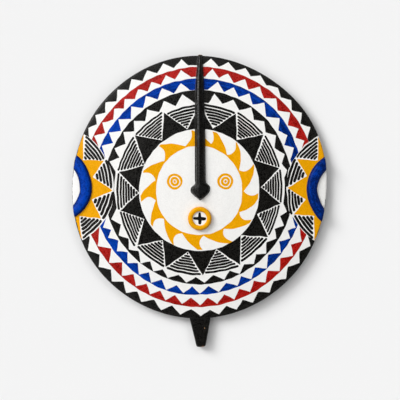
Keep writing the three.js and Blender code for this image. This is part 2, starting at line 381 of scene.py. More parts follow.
# Fineness of the wood's bends, and of its grain and its pores across, along and through the board
BENDS, GRAIN, PORES = 9.0, (150.0, 7.0, 90.0), (900.0, 30.0, 600.0)

# Where the ragged noise wears paint through, and where black spills over the back: from none to all
WORN, SPILT = (0.83, 0.88), (0.62, 0.7)

# The room's light: the rise over which it grows overhead, the rise over which the dark ceiling begins and
# how far that leans
OVERHEAD_FROM, CEILING_FROM, CEILING_LEAN = (0.5, 0.75), (0.8, 0.92), 0.12

# A corner stays sharp where a side is shorter than this many cuts or the cosine between its sides is below
# the second value. Any other is drawn in along both sides by a share of the cut.
CORNER_CUTS, NEARLY_STRAIGHT, CORNER_PULL = 3, -0.94, 0.22

# The nose's end: the y from which it takes the rim's place, how much its corners are cut in height and in
# width, and how far the rim stays off it
CROWN_FROM, END_CUT_HIGH, END_CUT_WIDE, END_GAP = 200, 0.5, 0.6, 0.4


class MaskSizes(bpy.types.PropertyGroup):
    """The carved sizes of the mask and the marks that the hand leaves on it."""

    rim_thick: FloatProperty(
        name="Rim thickness", description="Thickness of the board at its edge",
        default=0.018, min=0.005, unit="LENGTH")
    dome_rise: FloatProperty(
        name="Dome rise", description="How far the middle stands above the edge",
        default=0.018, min=0.0, unit="LENGTH")
    edge_round: FloatProperty(
        name="Edge rounding", description="Radius on the face's edge",
        default=0.0025, min=0.0005, unit="LENGTH")
    back_inset: FloatProperty(
        name="Back inset", description="How far the side leans in towards the back",
        default=0.003, unit="LENGTH")
    wall: FloatProperty(
        name="Wall", description="Thickness of wood over the hollow",
        default=0.014, min=0.004, unit="LENGTH")
    back_band: FloatProperty(
        name="Back band", description="Width of the flat band round the hollow",
        default=0.024, unit="LENGTH")
    hollow_slope: FloatProperty(
        name="Hollow slope", description="Width of the slope into the hollow",
        default=0.008, unit="LENGTH")
    bow_high: FloatProperty(
        name="Bow height", description="Height of the raised bow at each side",
        default=0.007, unit="LENGTH")
    border: FloatProperty(
        name="White border", description="White line between hatching and star",
        default=0.0014, unit="LENGTH")
    tremble: FloatProperty(
        name="Hand tremble", description="How far painted lines wander",
        default=0.0003, unit="LENGTH")
    spacing: FloatProperty(
        name="Mesh spacing", description="Distance between points on plain surfaces",
        default=0.003, min=0.002, unit="LENGTH")
    ripple_depth: FloatProperty(
        name="Ripple depth", description="Unevenness of the smoothed face",
        default=0.00025, unit="LENGTH")
    ripple_size: FloatProperty(
        name="Ripple size", description="Width of the face's unevenness",
        default=0.022, unit="LENGTH")
    gouge_depth: FloatProperty(
        name="Gouge depth", description="Depth of the cuts in the hollow",
        default=0.0009, unit="LENGTH")
    gouge_wide: FloatProperty(
        name="Gouge width", description="Width of one cut in the hollow",
        default=0.013, unit="LENGTH")
    gouge_long: FloatProperty(
        name="Gouge length", description="Length of one cut in the hollow",
        default=0.034, unit="LENGTH")
    seed: IntProperty(name="Seed", description="Changes the marks of the hand", default=4, min=0)


class MaskPaints(bpy.types.PropertyGroup):
    """The colours of the paints and of the wood under them."""

    white: FloatVectorProperty(
        name="White", description="Chalky white ground",
        subtype="COLOR", size=3, default=(0.825, 0.818, 0.798))
    black: FloatVectorProperty(
        name="Black", description="Soot black",
        subtype="COLOR", size=3, default=(0.0028, 0.0024, 0.0016))
    red: FloatVectorProperty(
        name="Red", description="Brick red",
        subtype="COLOR", size=3, default=(0.335, 0.004, 0.0012))
    blue: FloatVectorProperty(
        name="Blue", description="Deep blue",
        subtype="COLOR", size=3, default=(0.0, 0.0285, 0.247))
    yellow: FloatVectorProperty(
        name="Yellow", description="Egg-yolk yellow",
        subtype="COLOR", size=3, default=(0.765, 0.338, 0.0))
    wood: FloatVectorProperty(
        name="Wood", description="Pale brown wood",
        subtype="COLOR", size=3, default=(0.36, 0.2, 0.095))
    wood_dark: FloatVectorProperty(
        name="Wood grain", description="Dark grain of the wood",
        subtype="COLOR", size=3, default=(0.16, 0.075, 0.03))
    gloss: FloatProperty(
        name="Paint roughness", description="How matt the paint is",
        default=0.33, min=0.1, max=1.0, subtype="FACTOR")
    brush_depth: FloatProperty(
        name="Brush depth", description="Depth of the brush marks",
        default=0.0005, unit="LENGTH", precision=6)


class StageSettings(bpy.types.PropertyGroup):
    """The floor, the light and the camera."""

    floor_size: FloatProperty(
        name="Floor size", description="Side of the square floor",
        default=24.0, unit="LENGTH")
    floor_colour: FloatVectorProperty(
        name="Floor", description="Pale floor",
        subtype="COLOR", size=3, default=(0.82, 0.82, 0.82))
    light_power: FloatProperty(
        name="Light", description="Strength of the main light",
        default=2.33, min=0.0)
    light_turn: FloatProperty(
        name="Light from", description="Direction of the light, anticlockwise from +X",
        default=math.radians(143), subtype="ANGLE")
    light_rise: FloatProperty(
        name="Light height", description="Height of the light above the floor",
        default=math.radians(35), subtype="ANGLE")
    light_spread: FloatProperty(
        name="Light spread", description="Angle that the light fills, for soft shadows",
        default=math.radians(28), subtype="ANGLE")
    overhead: FloatProperty(
        name="Overhead", description="Strength of the room's light overhead",
        default=1.68, min=0.0)
    low: FloatProperty(
        name="Low", description="Strength of the room's light near the floor",
        default=0.15, min=0.0)
    lean: FloatProperty(
        name="Lean", description="How much brighter the room is on the main light's side",
        default=0.4, min=0.0, max=1.0)
    hole: FloatProperty(
        name="Dark ceiling", description="How dark the ceiling is round the camera",
        default=0.92, min=0.0, max=1.0)
    camera_high: FloatProperty(
        name="Camera height", description="Height of the camera above the floor",
        default=1.9, unit="LENGTH")
    camera_lens: FloatProperty(
        name="Camera lens", description="Focal length for a 36 mm sensor, in millimetres",
        default=95.8)
    camera_place: FloatVectorProperty(
        name="Camera place", description="Where the camera stands over the mask",
        size=2, default=(0.0009, 0.0019), unit="LENGTH")


def beside(*parts):
    """The parts as columns, side by side."""
    return np.stack(parts, axis=-1)


def length(rows):
    """The flat length of each row of x and y."""
    return np.hypot(rows[:, 0], rows[:, 1])


def around(knots, clock):
    """The value at a clock angle between knots that close on themselves."""
    clocks, values = zip(*knots)
    return np.interp(clock, clocks, values, period=360)


def along(knots, place):
    """The value at a place between knots on a line."""
    places, values = zip(*knots)
    return np.interp(place, places, values)


def polar(middle, clock, radius):
    """Points at clock angles and distances from a middle."""
    turn = np.radians(90 - np.asarray(clock, float))
    return beside(middle[0] + radius * np.cos(turn), middle[1] + radius * np.sin(turn))


def clock_of(points, middle):
    """Clock angle and distance of points from a middle."""
    away = np.asarray(points, float) - np.asarray(middle)
    return np.degrees(np.arctan2(away[:, 0], away[:, 1])) % 360, length(away)


def edge_radius(rows):
    """Distance from the board's middle to its edge in the direction of each row of x and y."""
    turn = np.arctan2(rows[:, 1], rows[:, 0])
    radius = np.full(np.shape(turn), BOARD_RADIUS)
    for lobes, depth, at in OUT_OF_ROUND:
        radius = radius + depth * np.cos(lobes * turn - math.radians(at))
    return radius


def smooth(share):
    """An even start and stop between 0 and 1."""
    share = np.clip(share, 0, 1)
    return share * share * (3 - 2 * share)


def anticlockwise(points):
    """The loop, turned round if it runs clockwise."""
    ahead = np.roll(points, -1, axis=0)
    area = np.sum(points[:, 0] * ahead[:, 1] - ahead[:, 0] * points[:, 1])
    return points if area > 0 else points[::-1]


def blunt(points, cut):
    """The loop with its sharp corners rounded as a brush leaves them."""
    rounded = []
    for before, here, after in zip(np.roll(points, 1, axis=0), points, np.roll(points, -1, axis=0)):
        back, on = before - here, after - here
        back_long, on_long = np.hypot(*back), np.hypot(*on)
        short = min(back_long, on_long) < CORNER_CUTS * cut
        nearly_straight = np.dot(back, on) < NEARLY_STRAIGHT * back_long * on_long
        if short or nearly_straight:
            rounded.append(here)
            continue
        back, on = back / back_long, on / on_long
        rounded += [here + cut * back, here + CORNER_PULL * cut * (back + on), here + cut * on]
    return np.array(rounded)


def spaced(points, step, closed=True):
    """The line with more points along its long stretches."""
    ends = np.roll(points, -1, axis=0) if closed else points[1:]
    filled = []
    for start, end in zip(points, ends):
        count = max(1, math.ceil(np.hypot(*(end - start)) / step))
        filled.append(start + (end - start) * np.arange(count)[:, None] / count)
    if not closed:
        filled.append(points[-1:])
    return np.concatenate(filled)


def wander(points, amount, seed):
    """Points moved by a slow sway, so that lines side by side move together."""
    rng = np.random.default_rng(seed)
    moved = np.array(points, float)
    for _ in range(SWAYS):
        turn, phase_x, phase_y = rng.uniform(0, 2 * math.pi, 3)
        long = rng.uniform(*SWAY_LONG)
        wave = (points[:, 0] * math.cos(turn) + points[:, 1] * math.sin(turn)) * 2 * math.pi / long
        moved += 0.5 * amount * beside(np.sin(wave + phase_x), np.sin(wave + phase_y))
    return moved


def distance_to_loop(points, loop):
    """How far each point is from the nearest side of a closed loop."""
    ends = np.roll(loop, -1, axis=0)
    sides = ends - loop
    long = np.sum(sides * sides, axis=1)
    nearest = np.empty(len(points))
    batch = 2000
    for first in range(0, len(points), batch):
        away = points[first:first + batch, None, :] - loop[None, :, :]
        share = np.clip(np.sum(away * sides, axis=2) / long, 0, 1)
        gap = away - share[:, :, None] * sides
        nearest[first:first + batch] = np.sqrt(np.min(np.sum(gap * gap, axis=2), axis=1))
    return nearest


class Carving:
    """The carved shape of the mask, as heights above the floor in millimetres."""

    SIZES = (
        "rim_thick", "dome_rise", "edge_round", "back_inset", "wall", "back_band", "hollow_slope", "bow_high",
    )

    def __init__(self, sizes):
        for name in self.SIZES:
            setattr(self, name, getattr(sizes, name) / MM)

    def dome(self, share):
        return self.rim_thick + self.dome_rise * (1 - np.minimum(share, 1) ** 2)

    def nose(self, x, y):
        """Height of the nose ridge above the dome, and how far across it each point is."""
        ys, lefts, rights, highs = (np.array(column) for column in zip(*NOSE))
        left, right = np.interp(y, ys, lefts), np.interp(y, ys, rights)
        across = (x - left) / (right - left)
        up = along(NOSE_SECTION, np.clip(across, 0, 1)) * np.interp(y, ys, highs)
        up = up * np.sqrt(np.clip((y - ys[0]) / TIP_LONG, 0, 1))
        return np.where((across > 0) & (across < 1), up, 0), across

    def mouth(self, x, y):
        away = np.hypot(x - MOUTH[0], y - MOUTH[1])
        return np.where(away < MOUTH_SECTION[-1][0], along(MOUTH_SECTION, away), 0)

    def bow(self, x, y, sun):
        clock, away = clock_of(beside(x, y), sun["middle"])
        foot, crown = around(sun["foot"], clock), around(sun["crown"], clock)
        share = (away - foot) / (crown - foot)
        high = along(BOW_SECTION, np.clip(share, 0, 1)) * self.bow_high
        return np.where((share > 0) & (share < 1), high, 0)

    def face(self, points):
        """Height of the face before its edge is rounded."""
        x, y = points[:, 0], points[:, 1]
        out = length(points)
        edge = edge_radius(points)
        high = self.dome(out / edge) - smooth((out - edge) / SINK_LONG)
        high = high + self.nose(x, y)[0] + self.mouth(x, y)
        for sun in SIDE_SUNS:
            high = high + self.bow(x, y, sun)
        return high

    def rounded(self, points, high, loop):
        """The face's heights with its outer edge rounded off."""
        out = length(points)
        near = np.flatnonzero(out > 0.96 * BOARD_RADIUS)
        gap = distance_to_loop(points[near], loop)
        inside = np.clip(self.edge_round - gap, 0, self.edge_round)
        lowered = high.copy()
        lowered[near] -= self.edge_round - np.sqrt(self.edge_round ** 2 - inside ** 2)
        return lowered

    def back(self, points):
        """Height of the back, flat on its band and hollow inside it."""
        share = length(points) / edge_radius(points)
        lip = 1 - self.back_band / BOARD_RADIUS
        deep = lip - self.hollow_slope / BOARD_RADIUS
        floor = self.dome(share) - self.wall
        slope = self.dome(deep) - self.wall
        return np.where(share < deep, floor, slope * smooth((lip - share) / (lip - deep)) ** 0.8)


class Pattern:
    """The painted loops in the order that they're painted, later ones over earlier ones."""

    def __init__(self, sizes):
        self.tremble = sizes.tremble / MM
        self.border = sizes.border / MM
        self.seed = sizes.seed
        self.loops = []
        self.paints = []
        self.chance = np.random.default_rng(sizes.seed + 20)

    def add(self, points, paint, cut=0.6, steady=False):
        """One painted loop, with blunt corners and the wander of the hand."""
        points = anticlockwise(np.array(points, float))
        if cut:
            points = blunt(points, cut)
        points = spaced(points, LINE_STEP)
        if not steady:
            points = wander(points, self.tremble, self.seed)
        self.loops.append(points)
        self.paints.append(paint)

    def disc(self, middle, knots, paint, steady=False):
        """A round patch whose edge follows knots, or a plain radius."""
        radius = max(value for _, value in knots) if isinstance(knots, tuple) else knots
        clock = np.linspace(0, 360, max(16, round(2 * math.pi * radius / LINE_STEP)), endpoint=False)
        radii = around(knots, clock) if isinstance(knots, tuple) else knots
        self.add(polar(middle, clock, radii), paint, 0, steady)

    def teeth(self, ring):
        """White ground whose edge is cut into teeth."""
        tips, points, notches, flats = ring
        edge = []
        for tip, after in zip(tips, tips[1:] + (tips[0] + 360,)):
            edge.append(polar((0, 0), tip, around(points, tip)))
            flat = [stretch for stretch in flats if tip < stretch[0] < after]
            middles = np.arange(flat[0][0], flat[0][1], 2.0) if flat else [(tip + after) / 2]
            for middle in middles:
                edge.append(polar((0, 0), middle, around(notches, middle)))
            if flat:
                edge.append(polar((0, 0), flat[0][1], around(notches, flat[0][1])))
        self.add(edge, WHITE)

    def flames(self):
        """The yellow ring of flames that lean one way."""
        edge = []
        for flame, after in zip(FLAMES, FLAMES[1:] + FLAMES[:1]):
            notch, notch_radius, tip, tip_radius, flat, swell = flame
            share = np.linspace(0, 1, 9)
            lean = FIRST_LEAN if flame == FLAMES[0] else LEAN
            edge.append(polar(FACE, notch + (tip - notch) * share + lean * np.sin(math.pi * share ** 0.8),
                              notch_radius + (tip_radius - notch_radius) * share))
            end = after[0] + (360 if after[0] < tip else 0)
            share = np.linspace(0, 1, 10)[:-1]
            edge.append(polar(FACE, tip + flat + (end - tip - flat) * share,
                              tip_radius + (after[1] - tip_radius) * share
                              + swell * np.sin(math.pi * share ** 0.9)))
        self.add(np.concatenate(edge), YELLOW, 0.4)

    def stroke(self, middle, start, end, radius, width):
        """One hatching stroke with round ends, bent about a middle."""
        end_cap = math.degrees(STROKE_END * width / radius(start))
        count = max(2, math.ceil(math.radians(end - start) * radius(start) / LINE_STEP))
        clock = np.concatenate(([start], np.linspace(start + end_cap, end - end_cap, count), [end]))
        widths = self.chance.uniform(*STROKE_VARY, count)
        half = 0.5 * width * np.concatenate(([STROKE_TIP], widths, [STROKE_TIP]))
        radii = radius(clock)
        outer, inner = polar(middle, clock, radii + half), polar(middle, clock, radii - half)
        self.add(np.concatenate((outer, inner[::-1])), BLACK, 0)

    def hatch(self, middle, left, notch, right, strokes, bent):
        """The strokes between two points of a star, bent round its middle in part."""
        sides = []
        for point in (left, right):
            line = np.linspace(0, 1, 30)[:, None]
            foot, tip = polar(middle, *notch), polar(middle, *point)
            clock, radius = clock_of(foot + (tip - foot) * line, middle)
            clock = (clock - notch[0] + 180) % 360 - 180 + notch[0]
            sides.append((radius, clock))
        count, outer, inner, slant = strokes
        pitch = (outer - inner) / (count - 1)
        for number in range(count):
            deep = number / (count - 1)
            level = outer - (outer - inner) * deep ** CROWD
            straight = (1 - bent) * min(1, 0.3 + 1.4 * deep)
            gap = math.degrees(self.border * BORDER_SLANT / level)
            start = np.interp(level, *sides[0]) + gap
            end = np.interp(level, *sides[1]) - gap
            if math.radians(end - start) * level < SHORTEST:
                half = math.degrees(SHORT_HALF / level)
                start, end = notch[0] - half, notch[0] + half
            start += math.degrees(self.chance.uniform(-END_STRAY, END_STRAY) / level)
            end -= math.degrees(self.chance.uniform(-END_STRAY, END_STRAY) / level)
            slant += self.chance.uniform(-END_STRAY, END_STRAY)

            def radius(clock, level=level, straight=straight, slant=slant):
                off = np.radians(clock - notch[0])
                return level * (1 + straight * (1 / np.cos(off) - 1)) + slant * off * level / SLANT_WIDE

            self.stroke(middle, start, end, radius, pitch * self.chance.uniform(*STROKE_WIDE))

    def star(self, middle, points, notches, strokes, bent, paint):
        """A star with hatching between its points. An open star is closed through its middle."""
        whole = len(points) == len(notches)
        outline = []
        for number, point in enumerate(points):
            outline.append(polar(middle, *point))
            if number < len(notches):
                outline.append(polar(middle, *notches[number]))
        if not whole:
            outline.append(np.array(middle, float))
        self.add(outline, paint, 0.5)
        for number, (notch, lines) in enumerate(zip(notches, strokes)):
            left, right = points[number], points[(number + 1) % len(points)]
            self.hatch(middle, left, notch, right, lines, bent)

    def nose(self):
        """Black over the whole nose ridge."""
        low, high = LONG_LEFT
        left = [(row[1] - (SPILL_LEFT if low < row[0] < high else SPILL), row[0]) for row in NOSE]
        right = [(row[2] + SPILL, row[0]) for row in reversed(NOSE)]
        left[0] = (left[0][0], left[0][1] - SPILL_TIP)
        right[-1] = (right[-1][0], right[-1][1] - SPILL_TIP)
        left[-1] = (left[-1][0], NOSE_TOP + SPILL_TOP)
        right[0] = (right[0][0], NOSE_TOP + SPILL_TOP)
        self.add(left + right, BLACK, 0.8, True)

    def cross(self):
        """The black cross on the mouth's floor."""
        half = CROSS_STROKE / 2
        arm = np.array((
            (1, -0.4), (1, 0.4), (0.8, 0.8), (0, 1), (-0.8, 0.8),
            (-1, 0.4), (-1, -0.4), (-0.8, -0.8), (0, -1), (0.8, -0.8),
        ))
        self.add(arm * (CROSS_WIDE / 2, half) + MOUTH, BLACK, 0.4)
        self.add(arm[:, ::-1] * (half, CROSS_TALL / 2) + MOUTH, BLACK, 0.4)

    def rim(self):
        """Black of the side that creeps over the edge where the paint at the rim is light."""
        for first, last, wide in RIM_LINES:
            clock = np.arange(first, last, CREPT_STEP)
            edge = edge_radius(beside(np.sin(np.radians(clock)), np.cos(np.radians(clock))))
            inner = edge - wide * self.chance.uniform(*CREPT_VARY, len(clock))
            inner[[0, -1]] = edge[[0, -1]] + CREPT_START
            beyond = polar((0, 0), clock[::-1], edge[::-1] + CREPT_PAST)
            self.add(np.concatenate((polar((0, 0), clock, inner), beyond)), BLACK, 0, True)

    def chips(self):
        """Bare wood in small ragged patches."""
        for (x, y), (wide, tall), turn in CHIPS:
            clock = np.linspace(0, 2 * math.pi, CHIP_POINTS, endpoint=False)
            ragged = self.chance.uniform(*CHIP_VARY, CHIP_POINTS)
            across, up = wide * ragged * np.cos(clock), tall * ragged * np.sin(clock)
            lean = math.radians(turn)
            patch_x = x + across * math.cos(lean) - up * math.sin(lean)
            patch_y = y + across * math.sin(lean) + up * math.cos(lean)
            self.add(beside(patch_x, patch_y), BARE, 0, True)

    def paint(self):
        """Every loop of the face, from the rim inwards."""
        self.teeth(RIM_TEETH)
        self.disc((0, 0), RED_EDGE, RED)
        self.teeth(RED_TEETH)
        self.disc((0, 0), BLUE_EDGE, BLUE)
        self.teeth(BLUE_TEETH)
        self.disc((0, 0), INNER_EDGE, BLACK)
        self.teeth(INNER_TEETH)
        self.star(FACE, STAR_POINTS, STAR_NOTCHES, STAR_STROKES, STAR_BEND, BLACK)
        self.disc(FACE, FACE_RING, WHITE)
        self.flames()
        self.disc(FACE, FACE_DISC, WHITE)
        for x, y, grow in EYES:
            for radius, paint in EYE_RINGS:
                self.disc((x, y), radius * grow, paint)
        for sun in SIDE_SUNS:
            self.disc(sun["middle"], sun["edge"], WHITE)
            self.star(sun["middle"], sun["points"], sun["notches"], sun["strokes"], SUN_BEND, YELLOW)
            self.disc(sun["middle"], sun["crown"], BLUE, True)
            self.disc(sun["middle"], sun["foot"], WHITE, True)
        self.disc(MOUTH, MOUTH_PAINT, YELLOW, True)
        self.disc(MOUTH, FLOOR_PAINT, WHITE, True)
        self.cross()
        self.nose()
        self.rim()
        self.chips()


def board_loop(step):
    """The outline of the board with its grip and the end of the nose, anticlockwise."""
    first = math.degrees(math.atan2(GRIP[-1][1], GRIP[-1][0]))
    last = math.degrees(math.atan2(GRIP[0][1], GRIP[0][0])) + 360
    turn = np.radians(np.linspace(first, last, round(math.radians(last - first) * BOARD_RADIUS / step)))
    radius = edge_radius(beside(np.cos(turn), np.sin(turn)))
    rim = beside(radius * np.cos(turn), radius * np.sin(turn))
    left, right = NOSE[-1][1], NOSE[-1][2]
    shoulder = NOSE_TOP - END_CUT_HIGH
    nub = (
        (right, shoulder), (right - END_CUT_WIDE, NOSE_TOP),
        (left + END_CUT_WIDE, NOSE_TOP), (left, shoulder),
    )
    crown = rim[:, 1] > CROWN_FROM
    before = rim[~crown & (rim[:, 0] > 0)]
    after = rim[~crown & (rim[:, 0] <= 0)]
    top = rim[crown]
    top = np.concatenate((top[top[:, 0] > right + END_GAP], nub, top[top[:, 0] < left - END_GAP]))
    after = after[:-1]
    return spaced(np.concatenate((before, top, after, np.array(GRIP[:-1], float))), step)


def sheet_of(loops, lines, loose):
    """One flat sheet of triangles through loops, lines and loose points, and each triangle's top loop."""
    points, sides, faces = [], [], []
    for loop in loops:
        faces.append(list(range(len(points), len(points) + len(loop))))
        points += [Vector(point) for point in loop]
    for line in lines:
        sides += [(number, number + 1) for number in range(len(points), len(points) + len(line) - 1)]
        points += [Vector(point) for point in line]
    points += [Vector(point) for point in loose]
    flat, _, corners, from_points, _, from_faces = delaunay_2d_cdt(points, sides, faces, 0, SAME_POINT, True)
    flat = np.array([tuple(point) for point in flat])
    kept = [(corner, max(owners)) for corner, owners in zip(corners, from_faces) if 0 in owners]
    triangles = np.array([corner for corner, _ in kept])
    owners = np.array([owner for _, owner in kept])
    a, b, c = (flat[triangles[:, i]] for i in range(3))
    area = (b[:, 0] - a[:, 0]) * (c[:, 1] - a[:, 1]) - (b[:, 1] - a[:, 1]) * (c[:, 0] - a[:, 0])
    triangles[area < 0] = triangles[area < 0][:, ::-1]
    return flat, triangles, owners, from_points


def fill_points(loops, step, keep_off, seed):
    """Evenly spread points that stay off the loops and lines."""
    tree = KDTree(sum(len(loop) for loop in loops))
    number = 0
    for loop in loops:
        for point in loop:
            tree.insert((point[0], point[1], 0), number)
            number += 1
    tree.balance()
    rng = np.random.default_rng(seed)
    rows = np.arange(*FIELD_Y, step * ROW_HIGH)
    spread = []
    for row, y in enumerate(rows):
        x = np.arange(*FIELD_X, step) + (row % 2) * step / 2
        spread.append(beside(x, np.full(len(x), y)))
    spread = np.concatenate(spread)
    spread = spread + rng.uniform(-STRAY, STRAY, spread.shape) * step
    out = length(spread) < edge_radius(spread)
    grip = (np.abs(spread[:, 0]) < GRIP_HALF) & (spread[:, 1] < GRIP_TOP)
    spread = spread[out | grip]
    return [point for point in spread if tree.find((point[0], point[1], 0))[2] > keep_off]


def inner_rings(loop, depths):
    """Points inside a loop at set distances from it, without those that crowd in its corners."""
    ahead = np.roll(loop, -1, axis=0) - np.roll(loop, 1, axis=0)
    inward = beside(-ahead[:, 1], ahead[:, 0]) / length(ahead)[:, None]
    rings = []
    for depth in depths:
        ring = loop + depth * inward
        rings.append(ring[distance_to_loop(ring, loop) > 0.96 * depth])
    return rings


def relief_lines():
    """Lines along the folds of the relief, so that its edges stay crisp."""
    lines = []
    ys, lefts, rights, _ = zip(*NOSE)
    y = np.arange(NOSE[0][0] - 0.1, NOSE_TOP - 0.6, LINE_STEP)
    left, right = np.interp(y, ys, lefts), np.interp(y, ys, rights)
    for across, _ in NOSE_SECTION:
        x = left + (right - left) * min(max(across, NOSE_EDGE), 1 - NOSE_EDGE)
        lines.append(beside(x, y))
    clock = np.linspace(0, 360, MOUTH_COUNT, endpoint=False)
    for radius, _ in MOUTH_SECTION[1:]:
        lines.append(polar(MOUTH, clock, radius))
    for sun in SIDE_SUNS:
        clock = np.arange(0, 360, BOW_STEP)
        foot, crown = around(sun["foot"], clock), around(sun["crown"], clock)
        for share, _ in BOW_SECTION[1:-1]:
            arc = polar(sun["middle"], clock, foot + (crown - foot) * share)
            inside = length(arc) < edge_radius(arc) - 1
            arc = arc[inside]
            lines.append(arc[np.argsort(arc[:, 1])])
    return lines


def rim_loop(triangles):
    """The point numbers round the outside of a sheet, anticlockwise."""
    sides = {(int(a), int(b)) for tri in triangles for a, b in zip(tri, np.roll(tri, -1))}
    ahead = {a: b for a, b in sides if (b, a) not in sides}
    start = next(iter(ahead))
    loop = [start]
    while ahead[loop[-1]] != start:
        loop.append(ahead[loop[-1]])
    if len(loop) != len(ahead):
        raise RuntimeError("the face's outline is broken")
    return loop


def side_rings(carving, loop, top):
    """Rings of points down the side, from under the face's edge to the floor."""
    out = length(loop)
    edge = edge_radius(loop)
    grip = smooth((out - edge - 1) / 4) * (loop[:, 1] < 0)
    nub = (loop[:, 1] > 0) & (out > edge)
    ahead = np.roll(loop, -1, axis=0) - np.roll(loop, 1, axis=0)
    straight = beside(ahead[:, 1], -ahead[:, 0])
    round_out = loop / out[:, None]
    straight = straight / length(straight)[:, None]
    outward = straight * grip[:, None] + round_out * (1 - grip[:, None])
    outward = outward / length(outward)[:, None]
    under = np.where(nub[:, None], loop * (edge / out)[:, None], loop)
    rings = []
    for share, inset in SIDE_STEPS:
        high = top * (1 - share)
        low = smooth((NOSE_END_BACK - high) / NOSE_END_FADE)[:, None]
        place = loop * (1 - low) + under * low
        inset = inset / SIDE_STEPS[-1][1] * carving.back_inset * (1 - 0.5 * grip)
        rings.append(np.column_stack((place - outward * inset[:, None], high)))
    return rings


def face_sheet(carving, loops, outline, step, seed):
    """The painted face, flat: its points, its triangles and the loop that each triangle shows."""
    lines = relief_lines()
    rings = inner_rings(outline, (*EDGE_RINGS, carving.edge_round + EDGE_RING_LAST))
    loose = [point for ring in rings for point in ring]
    loose += fill_points(loops + lines + rings, step, OFF_FACE * step, seed)
    flat, triangles, owners, _ = sheet_of(loops, lines, loose)
    used = np.unique(triangles)
    number = np.full(len(flat), -1)
    number[used] = np.arange(len(used))
    return flat[used], number[triangles], owners


def back_sheet(carving, bottom, step, seed):
    """The back, flat: its points, its triangles and the loop or loose points that each point came from."""
    lip = 1 - carving.back_band / BOARD_RADIUS
    slope = carving.hollow_slope / BOARD_RADIUS
    turn = np.radians(np.arange(0, 360, BACK_STEP))
    edge = edge_radius(beside(np.cos(turn), np.sin(turn)))
    shares = [lip - part * slope for part in BACK_RINGS]
    rings = [beside(edge * share * np.cos(turn), edge * share * np.sin(turn)) for share in shares]
    loose = [point for ring in rings for point in ring]
    loose += fill_points([bottom] + rings, BACK_COARSE * step, OFF_BACK * step, seed)
    flat, triangles, _, from_points = sheet_of([bottom], [], loose)
    return flat, triangles, from_points


def number_back(triangles, from_points, rim_count, last_ring, first_back):
    """The back's point numbers, shared with the side's last ring where they meet, and its new points."""
    numbers = np.full(len(from_points), -1)
    fresh = []
    kept = set(triangles.ravel().tolist())
    for place, sources in enumerate(from_points):
        if place not in kept:
            continue
        on_rim = [source for source in sources if source < rim_count]
        if on_rim:
            numbers[place] = last_ring + on_rim[0]
        else:
            numbers[place] = first_back + len(fresh)
            fresh.append(place)
    return numbers, fresh


def mask_mesh(sizes):
    """The whole skin of the mask, with its paints, its bake map and its attributes."""
    carving = Carving(sizes)
    pattern = Pattern(sizes)
    pattern.paint()
    step = sizes.spacing / MM
    outline = board_loop(LINE_STEP)
    paints = np.array([BLACK] + pattern.paints)
    flat, face_tris, owners = face_sheet(carving, [outline] + pattern.loops, outline, step, sizes.seed)
    rim = rim_loop(face_tris)
    high = carving.rounded(flat, carving.face(flat), flat[rim])
    face = np.column_stack((flat, high))

    side = side_rings(carving, flat[rim], high[rim])
    first_side = len(face)
    last_ring = first_side + (len(side) - 1) * len(rim)
    first_back = first_side + len(side) * len(rim)
    back_flat, back_tris, from_points = back_sheet(carving, side[-1][:, :2], step, sizes.seed + 1)
    numbers, fresh = number_back(back_tris, from_points, len(rim), last_ring, first_back)
    back_flat = back_flat[fresh]
    back = np.column_stack((back_flat, carving.back(back_flat)))
    back_tris = numbers[back_tris][:, ::-1]

    points = np.concatenate([face] + side + [back])
    lower_rings = [first_side + k * len(rim) + np.arange(len(rim)) for k in range(len(side))]
    ring_numbers = [np.array(rim)] + lower_rings
    walls = []
    for upper, lower in zip(ring_numbers, ring_numbers[1:]):
        walls.append(beside(upper, lower, np.roll(lower, -1), np.roll(upper, -1)))
    walls = np.concatenate(walls)
    bare_wall = np.tile((flat[rim][:, 1] > NOSE_END_BARE[0]) & (high[rim] > NOSE_END_BARE[1]), len(side))

    mesh = bpy.data.meshes.new("sun_mask_carved")
    low, high_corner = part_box("sun_mask")
    shift = np.array((-(outline[:, 0].min() + outline[:, 0].max()) / 2, high_corner.y / MM - NOSE_TOP, 0.0))
    corners = np.concatenate((face_tris.ravel(), walls.ravel(), back_tris.ravel()))
    sizes_of = np.repeat((3, 4, 3), (len(face_tris), len(walls), len(back_tris)))
    starts = np.concatenate(([0], np.cumsum(sizes_of)[:-1]))
    mesh.vertices.add(len(points))
    mesh.vertices.foreach_set("co", np.clip((points + shift) * MM, low, high_corner).ravel())
    mesh.loops.add(len(corners))
    mesh.loops.foreach_set("vertex_index", corners)
    mesh.polygons.add(len(starts))
    mesh.polygons.foreach_set("loop_start", starts)
    wall_paint = np.where(bare_wall, BARE, BLACK)
    paint = np.concatenate((paints[owners], wall_paint, np.full(len(back_tris), BARE)))
    mesh.polygons.foreach_set("material_index", paint)
    mesh.update(calc_edges=True)

    bare = np.concatenate((np.zeros(len(face_tris) + len(walls), bool), np.ones(len(back_tris), bool)))
    mesh.attributes.new("bare", "BOOLEAN", "FACE").data.foreach_set("value", bare)
    for name, values in point_masks(carving, points, len(face), first_back, flat[rim]).items():
        mesh.attributes.new(name, "FLOAT", "POINT").data.foreach_set("value", values)
    brush = mesh.attributes.new("brush", "FLOAT_VECTOR", "POINT")
    brush.data.foreach_set("vector", brush_way(points).ravel())
    bake_map(mesh, points, corners, len(face_tris), len(walls), len(rim))
    if mesh.validate():
        raise RuntimeError("the mask's mesh needed mending")
    return mesh


